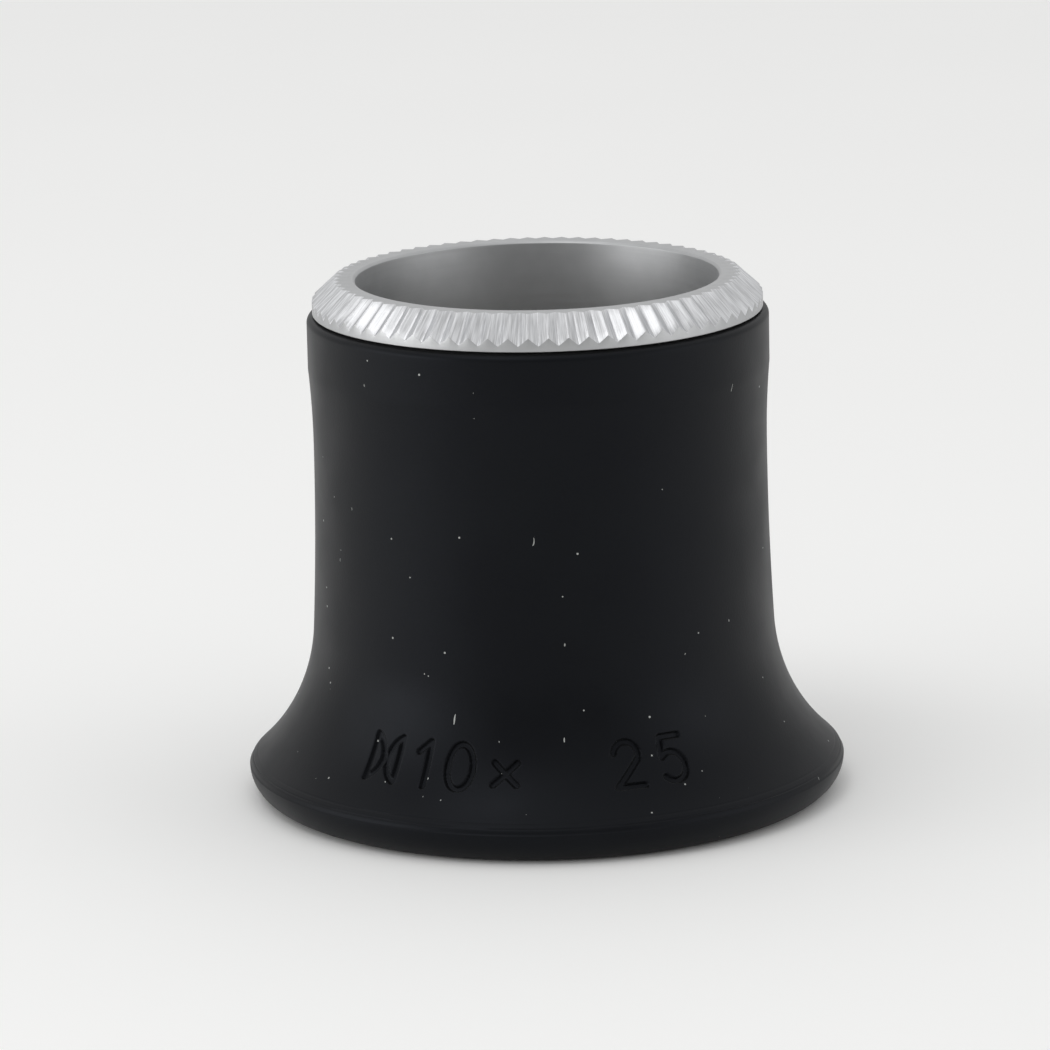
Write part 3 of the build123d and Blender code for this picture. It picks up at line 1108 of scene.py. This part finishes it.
class LOUPE_OT_spacer(bpy.types.Operator):
    """Black spacer ring with spherical seats and anti-glare grooves"""

    bl_idname = "loupe.spacer"
    bl_label = "Spacer ring"

    def execute(self, context):
        settings = context.scene.loupe_lens
        curve = settings.curve
        seat = curve + settings.seat
        rise = math.sqrt(curve**2 - LENS_R**2)
        low_centre = REAR_CROWN_Z - curve
        high_centre = FRONT_CROWN_Z + curve
        inner_r = LENS_R - settings.spacer_wall

        def low(radius):
            return low_centre + math.sqrt(seat**2 - radius**2)

        def high(radius):
            return high_centre - math.sqrt(seat**2 - radius**2)

        rear_z, front_z = low_centre + rise, high_centre - rise
        reach = math.sqrt(curve**2 - inner_r**2) - rise
        pitch = (front_z - rear_z - 2 * reach) / (settings.baffles + 1)
        points = line((LENS_R, low(LENS_R)), (LENS_R, high(LENS_R)), SPACING)
        points += arc((0.0, high_centre), (LENS_R, high(LENS_R)), (inner_r, high(inner_r)), SPACING)
        points.append((inner_r, high(inner_r)))
        for i in reversed(range(settings.baffles)):
            groove_z = (rear_z + front_z) / 2 + (i - (settings.baffles - 1) / 2) * pitch
            for away in (1, 0, -1):
                out = settings.baffle * (1 - abs(away))
                points.append((inner_r + out, groove_z + away * settings.baffle))
        points += arc((0.0, low_centre), (inner_r, low(inner_r)), (LENS_R, low(LENS_R)), SPACING)
        verts, faces = spin(soften(points, 0.05 * MM), even_angles(ROUND_COLUMNS))
        spacer = make_object(
            "black_spacer_ring", verts, faces, [black_anodising(settings)]
        )
        crease(spacer)
        finish_piece(spacer, "spacer_ring")
        return {"FINISHED"}


class LOUPE_OT_slip_ring(bpy.types.Operator):
    """Nylon slip ring between the turning barrel and the glass"""

    bl_idname = "loupe.slip_ring"
    bl_label = "Slip ring"

    def execute(self, context):
        settings = context.scene.loupe_lens
        inner_r = SIGHT_R + settings.slip_reveal
        outer_r = inner_r + settings.slip_wall
        flange_z = SLIP_LOW + settings.slip_flange
        points = line((inner_r, SLIP_LOW), (SLIP_R, SLIP_LOW), SPACING)
        points += [(SLIP_R, SLIP_LOW), (SLIP_R, flange_z), (outer_r, flange_z)]
        points += [(outer_r, SLIP_TOP), (inner_r, SLIP_TOP)]
        verts, faces = spin(soften(points, 0.06 * MM), even_angles(ROUND_COLUMNS))
        ring = make_object("nylon_slip_ring", verts, faces, [natural_nylon(settings)])
        crease(ring)
        finish_piece(ring, "slip_ring")
        return {"FINISHED"}


# ---------------------------------------------------------------- bezel
SECTOR_STEPS = 8
FLANK_STEPS = 4


def barrel_radius(thread):
    """Outside of the barrel at the root of its thread, clear of the cup's thread crest."""
    return LENS_R + bpy.context.scene.loupe_cup.seat_gap + thread.step - thread.gap


def bezel_column(settings, thread, angle):
    """Section of the bezel at an angle from the middle of a flute, and its flank rows."""
    barrel_r = barrel_radius(thread)
    slope = settings.flute_drop / settings.flute_run
    rise = 1 / (math.tan(settings.flute_angle / 2) * math.cos(math.atan(slope)))
    floor_r = BEZEL_R - settings.flute_run
    top_r = floor_r / (math.cos(angle) - abs(math.sin(angle)) * rise / slope)
    out_x, out_y = BEZEL_R * math.cos(angle), BEZEL_R * abs(math.sin(angle))
    out_z = BEZEL_TOP - (out_x - floor_r) * slope + out_y * rise
    lens = bpy.context.scene.loupe_lens
    recess_r = SIGHT_R + lens.slip_reveal + lens.slip_wall + lens.slip_fit
    recess_z = SLIP_TOP + lens.slip_fit
    head_z = BEZEL_TOP - settings.head
    chamfer = settings.bore_chamfer
    points = line((recess_r, BARREL_LOW), (barrel_r, BARREL_LOW))
    points += line((barrel_r, BARREL_LOW), (barrel_r, head_z))
    points += line((barrel_r, head_z), (BEZEL_R, head_z))
    points += line((BEZEL_R, head_z), (BEZEL_R, out_z))
    flank_rows = len(points)
    points += [
        (
            BEZEL_R + (top_r - BEZEL_R) * i / FLANK_STEPS,
            out_z + (BEZEL_TOP - out_z) * i / FLANK_STEPS,
        )
        for i in range(FLANK_STEPS)
    ]
    land_rows = len(points)
    points += line((top_r, BEZEL_TOP), (SIGHT_R + chamfer, BEZEL_TOP))
    points += line((SIGHT_R + chamfer, BEZEL_TOP), (SIGHT_R, BEZEL_TOP - chamfer))
    points += line((SIGHT_R, BEZEL_TOP - chamfer), (SIGHT_R, recess_z))
    points += line((SIGHT_R, recess_z), (recess_r, recess_z))
    points += line((recess_r, recess_z), (recess_r, BARREL_LOW))
    return points, range(flank_rows, land_rows)


def flute_sector(settings, thread):
    """One sector of the bezel, with its flute in the middle; flank faces carry an attribute."""
    half = math.pi / settings.flutes
    verts, faces, flank = [], [], []
    rows = 0
    flank_rows = range(0)
    for step in range(SECTOR_STEPS + 1):
        angle = half * (2 * step / SECTOR_STEPS - 1)
        points, flank_rows = bezel_column(settings, thread, angle)
        rows = len(points)
        verts += [(r * math.cos(angle), r * math.sin(angle), z) for r, z in points]
    for step in range(SECTOR_STEPS):
        for row in range(rows):
            after = (row + 1) % rows
            here, there = step * rows, (step + 1) * rows
            faces.append([here + row, there + row, there + after, here + after])
            flank.append(row in flank_rows)
    sector = make_object("fluted_bezel", verts, faces, [])
    attribute = sector.data.attributes.new("flank", "BOOLEAN", "FACE")
    attribute.data.foreach_set("value", flank)
    return sector


class LOUPE_OT_bezel(bpy.types.Operator):
    """Bezel: turned barrel and head, V flutes cut round the bevel, screw thread"""

    bl_idname = "loupe.bezel"
    bl_label = "Bezel"

    def execute(self, context):
        settings, thread = context.scene.loupe_bezel, context.scene.loupe_thread
        turned, cut = turned_aluminium(settings), cut_aluminium(settings)
        bezel = flute_sector(settings, thread)
        tree, names = flute_tree()
        run_tree(
            bezel,
            tree,
            names,
            {"Flutes": settings.flutes, "Turned metal": turned, "Cut metal": cut},
        )
        bevel = bezel.modifiers.new("edge break", "BEVEL")
        bevel.width = settings.edge
        bevel.segments = 2
        bevel.limit_method = "ANGLE"
        bevel.angle_limit = math.radians(30)
        bevel.use_clamp_overlap = False
        settle(bezel)
        root_r = barrel_radius(thread)
        low_z = BARREL_LOW + thread.lead
        high_z = BEZEL_TOP - settings.head - thread.runout
        ridge = thread_ridge(thread, root_r, root_r + thread.depth, low_z, high_z, turned)
        unite(bezel, ridge)
        crease(bezel, math.radians(20))
        finish_piece(bezel, "bezel")
        return {"FINISHED"}


# ---------------------------------------------------------------- floor, light and camera
# Each light: its name, direction from the loupe, distance, width and height, and watts.
LIGHTS = (
    ("key softbox", (-0.27, -0.41, 0.87), 0.6, (0.22, 0.20), 0.34),
    ("left panel", (-0.93, -0.30, 0.18), 0.55, (0.50, 0.30), 1.1),
    ("right panel", (0.93, -0.30, 0.18), 0.55, (0.50, 0.30), 0.5),
)
FLOOR_HALF = 3.0
FLOOR_GAP = 0.02 * MM


def softbox(name, direction, distance, size, watts):
    """A rectangular light that looks at the loupe from a direction."""
    lamp = bpy.data.lights.new(name, "AREA")
    lamp.shape = "RECTANGLE"
    lamp.size, lamp.size_y = size
    lamp.energy = watts
    light = bpy.data.objects.new(name, lamp)
    bpy.context.scene.collection.objects.link(light)
    light.visible_camera = False
    away = Vector(direction).normalized()
    target = Vector((0.0, 0.0, BEZEL_TOP * 0.6))
    light.matrix_world = Matrix.Translation(target + away * distance) @ away.to_track_quat(
        "Z", "Y"
    ).to_matrix().to_4x4()
    return light


def light_tent(tree):
    """Studio tent: brightest overhead, paler behind, dimmest on the camera's side."""
    dimmest, from_back, from_above = 0.22, 0.42, 0.5
    sky = next(node for node in tree.nodes if node.type == "BACKGROUND")
    way = add_node(tree, "ShaderNodeTexCoord").outputs["Generated"]
    parts = add_node(tree, "ShaderNodeSeparateXYZ", {"Vector": way})
    behind = add_node(
        tree,
        "ShaderNodeMapRange",
        {
            "Value": parts.outputs["Y"],
            "From Min": -1.0,
            "To Min": dimmest,
            "To Max": dimmest + from_back,
        },
    )
    above = add_node(
        tree, "ShaderNodeMapRange", {"Value": parts.outputs["Z"], "To Max": from_above}
    )
    total = add_node(
        tree, "ShaderNodeMath", {0: behind.outputs[0], 1: above.outputs[0]}, operation="ADD"
    )
    tree.links.new(total.outputs[0], sky.inputs["Strength"])
    sky.inputs["Color"].default_value = (1.0, 1.0, 1.0, 1.0)


def see_from_below(tree, shader):
    """Makes the floor clear from its underside, so that the loupe can be seen from below."""
    side = add_node(tree, "ShaderNodeNewGeometry").outputs["Backfacing"]
    mix = add_node(tree, "ShaderNodeMixShader", {0: side, 1: shader.outputs[0]})
    clear = add_node(tree, "ShaderNodeBsdfTransparent")
    tree.links.new(clear.outputs[0], mix.inputs[2])
    output = next(node for node in tree.nodes if node.type == "OUTPUT_MATERIAL")
    tree.links.new(mix.outputs[0], output.inputs["Surface"])


class LOUPE_OT_stage(bpy.types.Operator):
    """Plain pale floor, soft studio light and the camera"""

    bl_idname = "loupe.stage"
    bl_label = "Stage"

    def execute(self, context):
        settings = context.scene.loupe_stage
        scene = context.scene
        half = FLOOR_HALF
        low = CUP_LOW - FLOOR_GAP
        corners = [(-half, -half, low), (half, -half, low), (half, half, low), (-half, half, low)]
        material, tree, shader, here = new_material("matt paper sweep", Roughness=0.9)
        paper = add_node(tree, "ShaderNodeTexNoise", {"Vector": here, "Scale": 1 / (60.0 * MM)})
        pale = settings.floor
        shade_by(tree, shader, paper.outputs["Fac"], (0.0, 1.0), opaque(pale, 0.98), opaque(pale))
        floor = make_object("floor", corners, [(0, 1, 2, 3)], [material])
        see_from_below(tree, shader)
        for light in LIGHTS:
            softbox(*light)
        world = bpy.data.worlds.new("studio")
        scene.world = world
        world.use_nodes = True
        light_tent(world.node_tree)
        scene.view_settings.view_transform = "Standard"
        lens = bpy.data.cameras.new("camera")
        lens.lens = settings.focal / MM
        lens.sensor_width = 36.0
        lens.clip_start = 10.0 * MM
        camera = bpy.data.objects.new("camera", lens)
        scene.collection.objects.link(camera)
        tilt = settings.elevation
        away = Vector((0.0, -math.cos(tilt), math.sin(tilt)))
        up = Vector((0.0, math.sin(tilt), math.cos(tilt)))
        look = Vector((0.0, 0.0, settings.look_height))
        stand = look + away * settings.distance
        aim = look + Vector((settings.aim_right, 0.0, 0.0)) + up * settings.aim_up
        facing = (stand - aim).to_track_quat("Z", "Y").to_matrix().to_4x4()
        roll = Matrix.Rotation(settings.roll, 4, "Z")
        camera.matrix_world = Matrix.Translation(stand) @ facing @ roll
        scene.camera = camera
        return {"FINISHED"}


class LOUPE_PT_panel(bpy.types.Panel):
    """Buttons and sizes of the loupe"""

    bl_idname = "LOUPE_PT_panel"
    bl_label = "Jeweller's eye loupe"
    bl_space_type = "VIEW_3D"
    bl_region_type = "UI"
    bl_category = "Loupe"

    def draw(self, context):
        for operator in OPERATORS:
            self.layout.operator(operator.bl_idname)
        for name in SETTINGS:
            box = self.layout.box()
            group = getattr(context.scene, name)
            for prop in group.bl_rna.properties:
                if prop.identifier not in ("rna_type", "name"):
                    box.prop(group, prop.identifier)


OPERATORS = (
    LOUPE_OT_eye_cup,
    LOUPE_OT_lenses,
    LOUPE_OT_spacer,
    LOUPE_OT_slip_ring,
    LOUPE_OT_bezel,
    LOUPE_OT_stage,
)
SETTINGS = {
    "loupe_cup": LoupeCupSettings,
    "loupe_thread": LoupeThreadSettings,
    "loupe_bezel": LoupeBezelSettings,
    "loupe_lens": LoupeLensSettings,
    "loupe_stage": LoupeStageSettings,
}


def register():
    """Registers the settings, the operators and the panel."""
    for name, group in SETTINGS.items():
        bpy.utils.register_class(group)
        setattr(bpy.types.Scene, name, PointerProperty(type=group))
    for kind in (*OPERATORS, LOUPE_PT_panel):
        bpy.utils.register_class(kind)


def unregister():
    """Takes them away again."""
    for kind in (LOUPE_PT_panel, *reversed(OPERATORS)):
        bpy.utils.unregister_class(kind)
    for name, group in SETTINGS.items():
        delattr(bpy.types.Scene, name)
        bpy.utils.unregister_class(group)


def main():
    """Makes every piece and the stage."""
    register()
    for operator in OPERATORS:
        group, action = operator.bl_idname.split(".")
        getattr(getattr(bpy.ops, group), action)()


if __name__ == "__main__":
    main()
